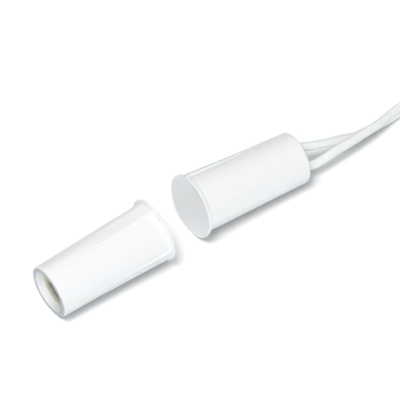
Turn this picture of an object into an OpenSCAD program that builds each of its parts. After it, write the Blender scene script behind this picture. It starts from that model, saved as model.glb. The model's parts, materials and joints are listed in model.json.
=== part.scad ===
// Recessed magnetic contact: a reed switch half with two leads, and the magnet half
// that faces it. Both halves lie on a flat surface, each on its flange and back edge.
// The case axis is drawn along +Z with the flange face at zero, and then laid down.

/* [Case] */
// Overall length of each case, from flange face to open end
case_length = 19.55; // [18:0.05:26]
// Diameter of the thin flange
flange_d = 10.35; // [10.3:0.05:12]
// Thickness of the flange at its rim
flange_thickness = 0.42; // [0.3:0.02:0.8]
// Diameter of the barrel where it meets the flange
barrel_front_d = 9.2; // [9:0.05:9.25]
// Diameter of the barrel at its open end
barrel_back_d = 8.45; // [8.3:0.05:9]
// Radius of the hollow cove between flange and barrel
cove_radius = 0.44; // [0.2:0.02:0.46]
// Rounding of the flange rim
rim_rounding = 0.1; // [0.04:0.01:0.14]
// Rounding of the outer edge at the open end
mouth_rounding = 0.32; // [0.1:0.02:0.34]
// Bore diameter at the open end
bore_mouth_d = 6.7; // [6.6:0.05:7.1]
// Bore diameter at the closed end
bore_floor_d = 6.5; // [6.45:0.05:6.6]
// Thickness of the closed front wall
front_wall = 1.0; // [0.6:0.05:1.5]
// Rounding in the bottom corner of the bore
floor_rounding = 0.2; // [0.1:0.05:0.4]
// Chamfer on the inner edge at the open end
mouth_chamfer = 0.1; // [0.05:0.05:0.3]

/* [Crush ribs] */
// Number of crush ribs round the barrel
rib_count = 3; // [2:1:5]
// Length of a rib, measured from the flange face
rib_length = 12; // [6:0.5:14]
// Height of a rib's long edges at the flange
rib_height = 0.26; // [0.1:0.02:0.34]
// Height of a rib's long edges where it runs out
rib_tail_height = 0.03; // [0.02:0.01:0.08]
// Width of a rib's flat top at the flange
rib_front_width = 2.4; // [0.6:0.1:2.8]
// Width of a rib's flat top where it runs out
rib_tail_width = 2.2; // [0.6:0.1:2.6]
// How deep the root of a rib reaches into the wall
rib_root = 0.35; // [0.25:0.05:0.45]
// Turn of the switch case's ribs round its axis, in degrees
switch_rib_roll = 15.5; // [0:0.5:119.5]
// Turn of the magnet case's ribs round its axis, in degrees
magnet_rib_roll = 73; // [0:0.5:119.5]

/* [Magnet and potting] */
// Diameter of the rod magnet
magnet_d = 6.35; // [5:0.05:6.4]
// Length of the rod magnet
magnet_length = 12.7; // [10:0.1:14]
// Depth from the open end to the face of the potting in both halves
recess_depth = 1.5; // [0.6:0.1:2]
// How far the capsule's sleeve reaches into the switch half's potting
sleeve_embed = 0.8; // [0.4:0.1:1]

/* [Reed capsule] */
// Length of the glass capsule
glass_length = 10; // [9.6:0.1:10.4]
// Outer diameter of the glass
glass_d = 1.8; // [1.7:0.05:2]
// Wall of the glass tube
glass_wall = 0.26; // [0.2:0.02:0.3]
// Length of the rounded shoulder at each end of the glass
shoulder_length = 0.8; // [0.5:0.1:1]
// Wall of the glass round the wire at its very end
nose_wall = 0.15; // [0.1:0.05:0.3]
// Length of each fused end seal
seal_length = 1.2; // [0.9:0.1:1.5]
// Diameter of the round reed wire
reed_wire_d = 0.5; // [0.4:0.05:0.55]
// Width of a flattened blade
blade_width = 0.95; // [0.7:0.05:1]
// Thickness of a flattened blade
blade_thickness = 0.2; // [0.15:0.01:0.24]
// Length of round wire inside the glass, before the pressed part
round_length = 0.2; // [0.1:0.05:0.4]
// Length over which the wire is pressed from round to flat
press_length = 0.5; // [0.3:0.05:0.8]
// Length over which the two blades overlap
blade_overlap = 0.7; // [0.4:0.05:1]
// Gap between the open blades
contact_gap = 0.06; // [0.04:0.01:0.08]
// Length of reed wire that stands out of each end of the glass
reed_tail = 1.9; // [1.7:0.1:2.2]
// Distance from the front wall to the front reed's tail
front_clearance = 0.6; // [0.4:0.1:0.9]
// Wall of the sleeve round the glass
sleeve_wall = 0.28; // [0.2:0.02:0.32]
// Length of the sleeve past each end of the glass
sleeve_overhang = 0.3; // [0.2:0.05:0.5]
// Distance of the capsule axis from the case axis
capsule_offset = 0.75; // [0.7:0.05:0.85]

/* [Leads] */
// Outer diameter of each lead
lead_d = 1.4; // [1.3:0.02:1.44]
// Diameter of the stripped and tinned conductor
core_d = 0.62; // [0.5:0.02:0.65]
// Distance of each lead from the case axis where it leaves the potting
lead_offset = 1.46; // [1.4:0.02:1.6]
// Turn of the row of leads and capsule round the case axis, in degrees
lead_roll = 127; // [120:1:135]
// Stripped length of lead a, from its jacket to the front joint's end
front_strip = 2.4; // [2:0.1:3]
// Stripped length of lead b, from its jacket to the rear joint
rear_strip = 0.4; // [0.3:0.05:0.8]
// Straight length of each lead behind the case
lead_straight = 0.8; // [0.4:0.1:1.5]
// Length of the solder on each joint
solder_length = 1.1; // [0.9:0.1:1.3]
// Diameter of the solder on each joint
solder_d = 1.3; // [1.2:0.05:1.4]
// Thickness of the solder round the stripped lead
solder_cover = 0.1; // [0.06:0.02:0.16]
// Length of reed wire that stands out of the solder
wire_end = 0.1; // [0.05:0.05:0.3]
// Stripped length at the far end of each lead
tip_length = 6; // [4:0.5:6.5]

/* [Coil of leads] */
// Radius of the outermost turn, along the middle of the lead
coil_radius = 12; // [12:0.5:14]
// Turns of each lead
coil_turns = 5; // [4:1:5]
// Distance from one turn to the next
coil_pitch = 1.45; // [1.44:0.01:1.5]
// Height from the lower lead's turns to the upper lead's
layer_height = 1.42; // [1.42:0.01:1.46]
// Thickness of the tie
tie_thickness = 0.3; // [0.2:0.05:0.4]
// Width of the tie
tie_width = 3; // [2:0.5:5]
// Radius of the tie's twisted ends
twist_r = 0.5; // [0.4:0.05:0.7]
// Length of the tie's twisted ends
twist_length = 4; // [3:0.5:8]
// Room between the innermost turn and each stripped end
tip_clearance = 0.14; // [0.1:0.02:0.4]

/* [Placing] */
// Gap between the two flange faces at the surface
half_gap = 6.9; // [4:0.05:12]
// How far the magnet half lies to the side of the switch half
side_offset = 0.82; // [0:0.02:3]
// Turn of the magnet half from facing straight back, in degrees
magnet_turn = 2.1; // [0:0.1:3]
// Play between seated pieces, as a radial distance
seat_play = 0.02; // [0.01:0.01:0.04]
// Room round the flexing rear joint in the potting
flex_play = 0.06; // [0.05:0.01:0.1]
// The least room between two pieces that touch on the real product
hair_gap = 0.01; // [0.005:0.005:0.02]

/* [Hidden] */
ROUND_FN = 96;
SMALL_FN = 40;
ARC_STEPS = 8;
TUBE_SIDES = 8;
PAST = 1; // how far a cutter reaches past what it cuts
THIN = 0.02; // thickness of a slice that a loft starts or ends on

// Radii that the profiles use
flange_r = flange_d / 2;
front_r = barrel_front_d / 2;
back_r = barrel_back_d / 2;
bore_mouth_r = bore_mouth_d / 2;
bore_floor_r = bore_floor_d / 2;
cove_end = flange_thickness + cove_radius;

// Radius of the barrel and of the bore at a distance from the flange face
function barrel_r(s) = front_r + (back_r - front_r) * (s - cove_end) / (case_length - cove_end);
function bore_r(s) = bore_floor_r
    + (bore_mouth_r - bore_floor_r) * (s - front_wall) / (case_length - front_wall);

// Distance from the axis to the flat top of a rib, from the radius and width of its edges
function flat_x(edge_r, width) = sqrt(edge_r * edge_r - width * width / 4);
rib_front_x = flat_x(front_r + rib_height, rib_front_width);
rib_tail_x = flat_x(barrel_r(rib_length) + rib_tail_height, rib_tail_width);

// Points of an arc, as [radius, distance] pairs
function arc(centre, radius, from, to) = [
    for (i = [0 : ARC_STEPS])
        let (a = from + (to - from) * i / ARC_STEPS)
        centre + radius * [cos(a), sin(a)]
];

// Resting tilt: the floor touches the flange rim's rounding and the mouth's rounding
rest_run = (case_length - mouth_rounding) - (flange_thickness - rim_rounding);
rest_drop = (flange_r - rim_rounding) - (back_r - mouth_rounding);
rest_tilt = atan2(rest_drop, rest_run)
    + asin((rim_rounding - mouth_rounding) / sqrt(rest_run * rest_run + rest_drop * rest_drop));
face_height = rim_rounding + (flange_thickness - rim_rounding) * sin(rest_tilt)
    + (flange_r - rim_rounding) * cos(rest_tilt);

// The middle of the two halves' box is the origin
function disc_reach(radius, along) = radius * sqrt(1 - along * along);
mouth_ring_s = case_length - mouth_rounding;
mouth_ring_r = back_r - mouth_rounding;
magnet_along = cos(rest_tilt) * cos(magnet_turn);
switch_reach = mouth_ring_s * cos(rest_tilt) + disc_reach(mouth_ring_r, cos(rest_tilt)) + mouth_rounding;
magnet_reach = half_gap + mouth_ring_s * magnet_along + disc_reach(mouth_ring_r, magnet_along)
    + mouth_rounding;
switch_x = (magnet_reach - switch_reach) / 2;
magnet_x = switch_x - half_gap;
switch_y = side_offset / 2;
magnet_y = -side_offset / 2;

// Stations of the reed capsule along the switch case
front_tail_s = front_wall + front_clearance;
glass_s = front_tail_s + reed_tail;
glass_end_s = glass_s + glass_length;
contact_s = glass_s + glass_length / 2;
rear_tail_s = glass_end_s + reed_tail;
potting_face_s = case_length - recess_depth;
potting_floor_s = glass_end_s + sleeve_overhang - sleeve_embed;
front_solder_s = front_tail_s + wire_end;
rear_solder_s = rear_tail_s - solder_length;
front_jacket_s = front_tail_s + front_strip;
rear_jacket_s = rear_tail_s + rear_strip;
glass_r = glass_d / 2;
glass_bore_r = glass_r - glass_wall;
sleeve_r = glass_r + seat_play + sleeve_wall;
sleeve_end_s = glass_end_s + sleeve_overhang;
lead_r = lead_d / 2;
core_r = core_d / 2;
reed_r = reed_wire_d / 2;

// Place of the coil, and the routes of the leads outside the case, chosen by hand
coil_x = 54;
coil_y = -10;
coil_entry_y = coil_y + coil_radius;
lead_a_route = [
    [25.4, 1, 4.7], [27.9, 0.53, 4.15], [30.2, 0.45, 3.48], [32.4, 0.6, 2.6], [34.8, 0.72, 1.6],
    [37.4, 1.1, 0.9], [40, 1.25, 0.75], [42.1, 1.4, 0.7], [44.3, 1.6, 0.7], [47, 1.85, 0.7],
    [50.5, 2, 0.7], [54, 2, 0.7]
];
lead_b_route = [
    [24.8, -1.35, 2.95], [27, -1.45, 3.05], [29.2, -1.27, 3.2], [31.4, -1.05, 3.15],
    [33.4, -0.82, 3], [35.6, -0.5, 2.88], [37.6, -0.15, 2.65], [39.5, 0.3, 2.4],
    [41.6, 0.9, 2.2], [44, 1.42, 2.12], [47, 1.82, 2.12], [50.5, 2, 2.12], [54, 2, 2.12]
];
coil_outer_r = coil_radius + lead_r;
coil_inner_r = coil_radius - coil_turns * coil_pitch - lead_r;
coil_height = lead_d + layer_height + tie_thickness;
tie_angle = -135;
tie_inner_x = sqrt(coil_inner_r * coil_inner_r - tie_width * tie_width / 4) - tie_thickness;
tie_run = coil_outer_r - tie_inner_x + tie_thickness;
tip_side = 90;
tip_r = coil_inner_r - tip_clearance - core_r;
tip_sweep = tip_length / tip_r * 180 / PI;

// Outline of a case: solid outside, then the bore back to the axis
function case_outer() = concat(
    [[0, 0]],
    arc([flange_r - rim_rounding, rim_rounding], rim_rounding, -90, 0),
    arc([flange_r - rim_rounding, flange_thickness - rim_rounding], rim_rounding, 0, 90),
    arc([front_r + cove_radius, cove_end], cove_radius, -90, -180),
    arc([back_r - mouth_rounding, case_length - mouth_rounding], mouth_rounding, 0, 90)
);
function case_bore() = concat(
    [[bore_mouth_r + mouth_chamfer, case_length], [bore_r(case_length - mouth_chamfer),
        case_length - mouth_chamfer]],
    arc([bore_floor_r - floor_rounding, front_wall + floor_rounding], floor_rounding, 0, -90),
    [[0, front_wall]]
);

module crush_rib(roll) {
    // A flat-topped strip that stands proudest at the flange and runs out into the barrel
    rotate([0, 0, roll])
        intersection() {
            rotate([90, 0, 0])
                linear_extrude(height = flange_d, center = true)
                    polygon([
                        [front_r - rib_root, flange_thickness / 2],
                        [rib_front_x, flange_thickness / 2],
                        [rib_front_x, cove_end],
                        [rib_tail_x, rib_length],
                        [barrel_r(rib_length) - rib_root, rib_length]
                    ]);
            rotate([0, 90, 0])
                linear_extrude(height = flange_r)
                    polygon([
                        [-flange_thickness / 2, rib_front_width / 2],
                        [-rib_length, rib_tail_width / 2],
                        [-rib_length, -rib_tail_width / 2],
                        [-flange_thickness / 2, -rib_front_width / 2]
                    ]);
        }
}

module thimble(rib_roll) {
    color("whitesmoke")
        union() {
            rotate_extrude($fn = ROUND_FN)
                polygon(concat(case_outer(), case_bore()));
            for (i = [0 : rib_count - 1])
                crush_rib(rib_roll + i * 360 / rib_count);
        }
}

module plug_in_bore(from, to) {
    // A plug that fills the bore between two stations
    rotate_extrude($fn = ROUND_FN)
        polygon([
            [0, from], [bore_r(from) - seat_play, from],
            [bore_r(to) - seat_play, to], [0, to]
        ]);
}

module lay_switch() {
    translate([switch_x, switch_y, face_height])
        rotate([0, 90 + rest_tilt, 0])
            children();
}

module lay_magnet() {
    translate([magnet_x, magnet_y, face_height])
        rotate([0, 0, 180 + magnet_turn])
            rotate([0, 90 + rest_tilt, 0])
                children();
}

// Inside the case, +X is the side of lead a and -X the side of the capsule and lead b
module in_switch() {
    lay_switch()
        rotate([0, 0, lead_roll])
            children();
}

module on_capsule() {
    in_switch()
        translate([-capsule_offset, 0, 0])
            children();
}

module rod(radius, from, to) {
    translate([0, 0, from])
        cylinder(r = radius, h = to - from, $fn = SMALL_FN);
}

module switch_case() {
    lay_switch() thimble(switch_rib_roll);
}

module magnet_case() {
    lay_magnet() thimble(magnet_rib_roll);
}

module magnet() {
    // A rod with its end edges broken, so that it clears the corner of the bore
    edge = floor_rounding + seat_play;
    magnet_r = magnet_d / 2;
    lay_magnet()
        color("dimgray")
            translate([0, 0, front_wall])
                rotate_extrude($fn = ROUND_FN)
                    polygon([
                        [0, 0], [magnet_r - edge, 0], [magnet_r, edge],
                        [magnet_r, magnet_length - edge], [magnet_r - edge, magnet_length],
                        [0, magnet_length]
                    ]);
}

module magnet_potting() {
    lay_magnet()
        color("darkkhaki")
            plug_in_bore(front_wall + magnet_length, potting_face_s);
}

module switch_potting() {
    // The plug has room for the sleeve, the rear joint and both leads
    in_switch()
        color("darkkhaki")
            difference() {
                plug_in_bore(potting_floor_s, potting_face_s);
                translate([-capsule_offset, 0, 0])
                    rod(sleeve_r + seat_play, potting_floor_s - PAST, sleeve_end_s);
                translate([rear_joint_x, 0, 0])
                    rod(rear_pocket_r, sleeve_end_s - THIN, rear_tail_s + flex_play);
                translate([lead_offset, 0, 0])
                    rod(lead_r + seat_play, potting_floor_s - PAST, potting_face_s + PAST);
                translate([-lead_offset, 0, 0])
                    rod(lead_r + seat_play, rear_jacket_s, potting_face_s + PAST);
                translate([-lead_offset, 0, 0])
                    rod(core_r + seat_play, rear_tail_s, rear_jacket_s + THIN);
            }
}

// Half the outline of a long body with rounded shoulders, as [radius, distance] pairs
function shoulder(nose_r, full_r, from, run) = [
    for (i = [0 : ARC_STEPS])
        let (a = 90 * i / ARC_STEPS)
        [nose_r + (full_r - nose_r) * sin(a), from + run * (1 - cos(a))]
];
function reversed(p) = [for (i = [len(p) - 1 : -1 : 0]) p[i]];
function round_ended(nose_r, full_r, from, to, run) = concat(
    [[0, from]],
    shoulder(nose_r, full_r, from, run),
    reversed(shoulder(nose_r, full_r, to, -run)),
    [[0, to]]
);

module reed_glass() {
    // A tube whose ends are melted down on the reed wires
    on_capsule()
        color([0.75, 0.85, 0.8, 0.4])
            difference() {
                rotate_extrude($fn = SMALL_FN)
                    polygon(round_ended(reed_r + nose_wall, glass_r, glass_s, glass_end_s,
                        shoulder_length));
                rod(reed_r + hair_gap, glass_s - PAST, glass_end_s + PAST);
                rotate_extrude($fn = SMALL_FN)
                    polygon(round_ended(reed_r, glass_bore_r, glass_s + seal_length,
                        glass_end_s - seal_length, shoulder_length / 2));
            }
}

module capsule_sleeve() {
    on_capsule()
        color("lightgray")
            difference() {
                rod(sleeve_r, glass_s - sleeve_overhang, sleeve_end_s);
                rod(glass_r + seat_play, glass_s - PAST, glass_end_s + PAST);
            }
}

// A reed wire drawn from its tail at zero to the blade's tip, with the blade off to +X
blade_start = reed_tail + seal_length + round_length;
reed_length = reed_tail + glass_length / 2 + blade_overlap / 2;
module reed() {
    rod(reed_r, 0, blade_start);
    hull() {
        translate([0, 0, blade_start - THIN])
            cylinder(r = reed_r, h = THIN, $fn = 24);
        translate([contact_gap / 2, -blade_width / 2, blade_start + press_length])
            cube([blade_thickness, blade_width, THIN]);
    }
    translate([contact_gap / 2, -blade_width / 2, blade_start + press_length])
        cube([blade_thickness, blade_width, reed_length - blade_start - press_length]);
}

module front_reed() {
    on_capsule()
        color("silver")
            translate([0, 0, front_tail_s])
                reed();
}

module rear_reed() {
    on_capsule()
        color("silver")
            translate([0, 0, rear_tail_s])
                rotate([0, 180, 0])
                    reed();
}

// Solder: a short barrel round the reed's tail, which the stripped lead meets end on
rear_joint_x = -(capsule_offset + lead_offset) / 2;
rear_pocket_r = (lead_offset - capsule_offset) / 2 + solder_d / 2 + flex_play;
module front_solder() {
    on_capsule()
        color("gainsboro")
            difference() {
                hull() {
                    rod(solder_d / 2, front_solder_s, front_solder_s + solder_length);
                    translate([reed_r + core_r, 0, 0])
                        rod(core_r + solder_cover, front_solder_s + wire_end,
                            front_solder_s + solder_length - wire_end);
                }
                rod(reed_r, 0, glass_s);
            }
}

module rear_solder() {
    on_capsule()
        color("gainsboro")
            difference() {
                hull() {
                    rod(solder_d / 2 - solder_cover, rear_solder_s, rear_tail_s);
                    translate([capsule_offset - lead_offset, 0, 0])
                        rod(core_r + solder_cover, rear_solder_s + wire_end, rear_tail_s);
                }
                rod(reed_r, rear_solder_s - PAST, rear_tail_s + PAST);
            }
}

module bar(from, to, radius) {
    // A round bar between two points
    run = to - from;
    length = norm(run);
    translate(from)
        rotate([0, acos(run[2] / length), atan2(run[1], run[0])])
            cylinder(r = radius, h = length, $fn = SMALL_FN);
}

module lead_a_core() {
    // The stripped end comes out of its jacket and turns in to the front joint
    joint_side = reed_r + core_r - capsule_offset;
    solder_side = joint_side + core_r + solder_cover + hair_gap;
    bend_s = front_solder_s + solder_length / 2;
    in_switch()
        color("lightgray") {
            bar([lead_offset, 0, front_jacket_s], [lead_offset, 0, bend_s], core_r);
            translate([lead_offset, 0, bend_s])
                sphere(r = core_r, $fn = SMALL_FN);
            bar([lead_offset, 0, bend_s], [solder_side, 0, bend_s], core_r);
        }
}

module lead_b_core() {
    in_switch()
        color("lightgray")
            translate([-lead_offset, 0, 0])
                rod(core_r, rear_tail_s + hair_gap, rear_jacket_s);
}

// Where a station inside the laid switch case comes in the part's frame
function laid(p) = [
    switch_x + p[2] * cos(rest_tilt) - p[0] * sin(rest_tilt),
    switch_y + p[1],
    face_height - p[2] * sin(rest_tilt) - p[0] * cos(rest_tilt)
];
function lead_point(side, s) = laid([
    side * lead_offset * cos(lead_roll), side * lead_offset * sin(lead_roll), s
]);

// A tube swept along points, with a flat ring of corners at each
function unit(v) = v / norm(v);
function tube_tangent(p, i) = unit(p[min(i + 1, len(p) - 1)] - p[max(i - 1, 0)]);
function tube_ring(centre, tangent, radius) =
    let (side = unit(cross([0, 0, 1], tangent)), top = cross(tangent, side))
    [for (k = [0 : TUBE_SIDES - 1])
        let (a = (k + 0.5) * 360 / TUBE_SIDES)
        centre + radius * (cos(a) * side + sin(a) * top)];
module tube(p, radius) {
    rings = len(p);
    corners = [for (i = [0 : rings - 1]) each tube_ring(p[i], tube_tangent(p, i), radius)];
    start_cap = [[for (k = [0 : TUBE_SIDES - 1]) k]];
    end_cap = [[for (k = [TUBE_SIDES - 1 : -1 : 0]) (rings - 1) * TUBE_SIDES + k]];
    sides = [
        for (i = [0 : rings - 2], k = [0 : TUBE_SIDES - 1])
            let (n = (k + 1) % TUBE_SIDES, a = i * TUBE_SIDES, b = a + TUBE_SIDES)
            [a + k, b + k, b + n, a + n]
    ];
    polyhedron(points = corners, faces = concat(start_cap, end_cap, sides), convexity = 4);
}

module lead_a() {
    // The jacket runs beside the capsule, out through the potting and on to the coil
    color("white")
        tube(concat(
            [for (s = [front_jacket_s, potting_floor_s, potting_face_s, case_length + lead_straight])
                lead_point(1, s)],
            lead_a_route), lead_r);
}

module lead_b() {
    color("white")
        tube(concat(
            [for (s = [rear_jacket_s, potting_face_s, case_length + lead_straight]) lead_point(-1, s)],
            lead_b_route), lead_r);
}

module at_tie() {
    translate([coil_x, coil_y, 0])
        rotate([0, 0, tie_angle])
            translate([tie_inner_x, -tie_width / 2, 0])
                children();
}

module lead_coil() {
    // Both leads lie in one flat coil, one over the other, lifted by the tie beneath
    color("white")
        difference() {
            translate([coil_x, coil_y, 0])
                rotate_extrude($fn = ROUND_FN)
                    polygon([
                        [coil_inner_r, 0], [coil_outer_r, 0],
                        [coil_outer_r, coil_height], [coil_inner_r, coil_height]
                    ]);
            at_tie()
                cube([tie_run, tie_width, tie_thickness]);
        }
}

module coil_tie() {
    // A flat band round the coil, with its twisted ends standing at the outer side
    band_rise = coil_height + tie_thickness;
    color("black")
        union() {
            at_tie()
                difference() {
                    cube([tie_run, tie_width, band_rise]);
                    translate([tie_thickness, -PAST, tie_thickness])
                        cube([tie_run - 2 * tie_thickness, tie_width + 2 * PAST,
                            coil_height - tie_thickness]);
                }
            at_tie()
                translate([tie_run - tie_thickness / 2, tie_width / 2, coil_height / 2])
                    rotate([0, 90, 0])
                        cylinder(r = twist_r, h = twist_length, $fn = SMALL_FN);
        }
}

// The stripped far ends go on along the inside of the innermost turns
module lead_tip(height) {
    translate([coil_x, coil_y, height])
        rotate([0, 0, tip_side - tip_sweep])
            rotate_extrude(angle = tip_sweep, $fn = ROUND_FN)
                translate([tip_r, 0])
                    circle(r = core_r, $fn = SMALL_FN);
}

module lead_a_tip() {
    color("lightgray") lead_tip(lead_r);
}

module lead_b_tip() {
    color("lightgray") lead_tip(lead_r + layer_height);
}

switch_case();
switch_potting();
reed_glass();
capsule_sleeve();
front_reed();
rear_reed();
front_solder();
rear_solder();
lead_a_core();
lead_b_core();
lead_a();
lead_b();
lead_coil();
coil_tie();
lead_a_tip();
lead_b_tip();
magnet_case();
magnet();
magnet_potting();
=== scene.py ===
"""Builds and finishes a recessed magnetic contact: two moulded halves, a reed capsule, two leads.

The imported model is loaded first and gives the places. Each operator makes one piece, or one
group of like pieces, in the model's own coordinates, in metres.
"""

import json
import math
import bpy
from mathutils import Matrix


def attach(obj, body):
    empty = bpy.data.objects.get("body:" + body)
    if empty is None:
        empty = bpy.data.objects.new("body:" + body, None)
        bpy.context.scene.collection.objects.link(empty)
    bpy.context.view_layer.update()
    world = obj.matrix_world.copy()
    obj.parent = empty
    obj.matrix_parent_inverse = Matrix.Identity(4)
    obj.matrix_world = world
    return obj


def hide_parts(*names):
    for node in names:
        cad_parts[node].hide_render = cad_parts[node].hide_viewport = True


bl_info = {
    "name": "Recessed magnetic contact",
    "version": (1, 0, 0),
    "blender": (4, 5, 0),
    "location": "3D View > Sidebar > Contact",
    "description": "Builds both halves of a recessed magnetic contact, with leads and finishes",
    "category": "Object",
}

import bmesh
import bpy
from bpy.props import FloatProperty, FloatVectorProperty, IntProperty, PointerProperty
from mathutils import Matrix, Vector, noise

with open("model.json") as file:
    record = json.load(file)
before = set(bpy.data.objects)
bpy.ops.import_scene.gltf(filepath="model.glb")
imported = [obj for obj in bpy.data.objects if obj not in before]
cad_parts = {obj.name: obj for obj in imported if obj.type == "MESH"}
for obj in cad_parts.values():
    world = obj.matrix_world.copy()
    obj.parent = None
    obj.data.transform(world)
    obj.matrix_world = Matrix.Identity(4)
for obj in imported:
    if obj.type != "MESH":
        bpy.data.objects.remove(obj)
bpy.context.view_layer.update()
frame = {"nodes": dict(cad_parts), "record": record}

MM = 0.001
UP = Vector((0, 0, 1))

SECTOR_COLUMNS = 96  # columns of points in each rib's sector of the case

# Each case, with the mount that gives its place, the body that it rides and its ribs' turn
HALVES = {
    "switch_case": {"mount": "switch_face", "body": "switch_half", "roll": "switch_rib_roll"},
    "magnet_case": {"mount": "magnet_face", "body": "magnet_half", "roll": "magnet_rib_roll"},
}


# Settings that a user would change


def number(name, description, value, **settings):
    """A number property."""
    return FloatProperty(name=name, description=description, default=value, **settings)


def how_many(name, description, count, least, most):
    """A whole number property."""
    return IntProperty(name=name, description=description, default=count, min=least, max=most)


def size(name, description, millimetres):
    """A length property, with its default in millimetres."""
    settings = {"min": 0, "unit": "LENGTH", "subtype": "DISTANCE", "precision": 5}
    return number(name, description, millimetres * MM, **settings)


def turning(name, description, degrees):
    """An angle property, with its default in degrees."""
    return number(name, description, math.radians(degrees), subtype="ANGLE")


def light(name, description, strength):
    """A strength of the sky, or the power of a lamp in watts."""
    return number(name, description, strength, min=0)


def spot(name, description, place):
    """A place property, in metres."""
    return FloatVectorProperty(
        name=name, description=description, default=place, subtype="TRANSLATION", precision=6
    )


def tint(name, description, colour):
    """A colour property, in linear light."""
    return FloatVectorProperty(
        name=name, description=description, default=colour, size=3, min=0, max=1, subtype="COLOR"
    )


class CaseSizes(bpy.types.PropertyGroup):
    """Sizes of the moulded case that both halves share."""

    length: size("Length", "Overall length, from flange face to open end", 19.55)
    flange_d: size("Flange diameter", "Diameter of the thin flange", 10.35)
    flange_thickness: size("Flange thickness", "Thickness of the flange at its rim", 0.42)
    front_d: size("Barrel at flange", "Diameter of the barrel where it meets the flange", 9.2)
    back_d: size("Barrel at mouth", "Diameter of the barrel at its open end", 8.45)
    cove_radius: size("Cove radius", "Hollow between flange and barrel", 0.44)
    rim_rounding: size("Rim rounding", "Rounding of the flange rim", 0.1)
    mouth_rounding: size("Mouth rounding", "Rounding of the outer edge at the open end", 0.32)
    mouth_chamfer: size("Mouth chamfer", "Chamfer on the inner edge at the open end", 0.1)
    bore_mouth_d: size("Bore at mouth", "Bore diameter at the open end", 6.7)
    bore_floor_d: size("Bore at floor", "Bore diameter at the closed end", 6.5)
    front_wall: size("Front wall", "Thickness of the closed front wall", 1.0)
    floor_rounding: size("Floor rounding", "Rounding in the bottom corner of the bore", 0.2)
    recess: size("Recess", "Depth from the open end to the face of the potting", 1.5)
    resin_lean: number("Resin lean", "Slope of the magnet half's resin, which set leaning", 0.05)
    rib_count: how_many("Crush ribs", "Number of crush ribs round the barrel", 3, least=2, most=5)
    rib_length: size("Rib length", "End of a rib, measured from the flange face", 12)
    rib_height: size("Rib height", "Height of a rib's long edges at the flange", 0.26)
    rib_tail_height: size("Rib tail height", "Height of a rib's edges where it runs out", 0.03)
    rib_front_width: size("Rib width", "Width of a rib's flat top at the flange", 2.4)
    rib_tail_width: size("Rib tail width", "Width of a rib's flat top where it runs out", 2.2)
    rib_flank: size("Rib flank", "Width of the soft edge along each side of a rib", 0.12)
    switch_rib_roll: turning("Switch rib turn", "Turn of the switch case's ribs", 15.5)
    magnet_rib_roll: turning("Magnet rib turn", "Turn of the magnet case's ribs", 73)


class LeadSizes(bpy.types.PropertyGroup):
    """Sizes of the two leads, and of the coil that they end in."""

    lead_d: size("Lead diameter", "Outer diameter of each lead", 1.4)
    strand_d: size("Strand diameter", "Diameter of one strand of the conductor", 0.2)
    length: size("Lead length", "Length of each lead, from the potting to its jacket's end", 300)
    offset: size("Lead offset", "Distance of each lead from the case axis at the potting", 1.46)
    roll: turning("Lead turn", "Turn of the row of leads round the case axis", 127)
    lead_a_start: size("Lead a start", "Station where the long lead's jacket starts", 4.0)
    lead_b_start: size("Lead b start", "Station where the short lead's jacket starts", 15.8)
    straight: size("Straight length", "Straight length of each lead behind the case", 0.8)
    coil_radius: size("Coil radius", "Radius of the outermost turn", 12)
    coil_pitch: size("Coil pitch", "Distance from one turn to the next", 1.45)
    coil_turns: how_many("Turns", "Turns of each lead in the coil", 5, least=4, most=5)
    layer_height: size("Layer height", "Height from the lower lead's turns to the upper's", 1.42)
    end_radius: size("End radius", "Radius that the stripped ends follow inside the coil", 3.6)
    tip_length: size("Stripped length", "Stripped length at the far end of each lead", 6)
    tie_thickness: size("Tie thickness", "Thickness of the tie's band", 0.3)
    tie_width: size("Tie width", "Width of the tie's band", 3)
    tie_twist_length: size("Tie ends", "Length of the tie's twisted ends", 4)
    tie_twist_width: size("Tie end width", "Width of the tie's twisted ends", 0.96)


class Finishes(bpy.types.PropertyGroup):
    """Main colours of the finishes."""

    plastic: tint("Moulded plastic", "White plastic of both cases", (0.943, 0.933, 0.947))
    # Mouth edge: painted shade, a grey for the ring that faces away from the light
    edge: tint("Mouth edge", "Thin shaded edge of the open ends", (0.53, 0.55, 0.585))
    # Bore: painted light, a whiter tint that lifts the shaded inner wall
    bore: tint("Bore", "Smooth inner wall of the open ends", (0.985, 0.992, 1.0))
    jacket: tint("Lead jacket", "White wire jacket", (0.945, 0.945, 0.942))
    # Potting is thin resin at the wall; Deep potting is painted shade, darker inward in the
    # recess
    potting: tint("Potting", "Cast resin where it is thin, at the wall", (0.68, 0.65, 0.52))
    potting_shade: tint("Deep potting", "Cast resin where it is thick", (0.145, 0.13, 0.075))
    copper: tint("Tinned copper", "Stripped and tinned strands", (0.74, 0.73, 0.70))
    tie: tint("Tie", "Dark band round the coil", (0.03, 0.03, 0.034))
    reed: tint("Reed alloy", "Nickel-iron wire", (0.62, 0.60, 0.56))
    solder: tint("Solder", "Bright solder", (0.72, 0.73, 0.75))
    sleeve: tint("Sleeve", "Soft sleeve round the capsule", (0.72, 0.71, 0.67))
    magnet: tint("Magnet", "Ground cast magnet", (0.20, 0.20, 0.215))


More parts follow.
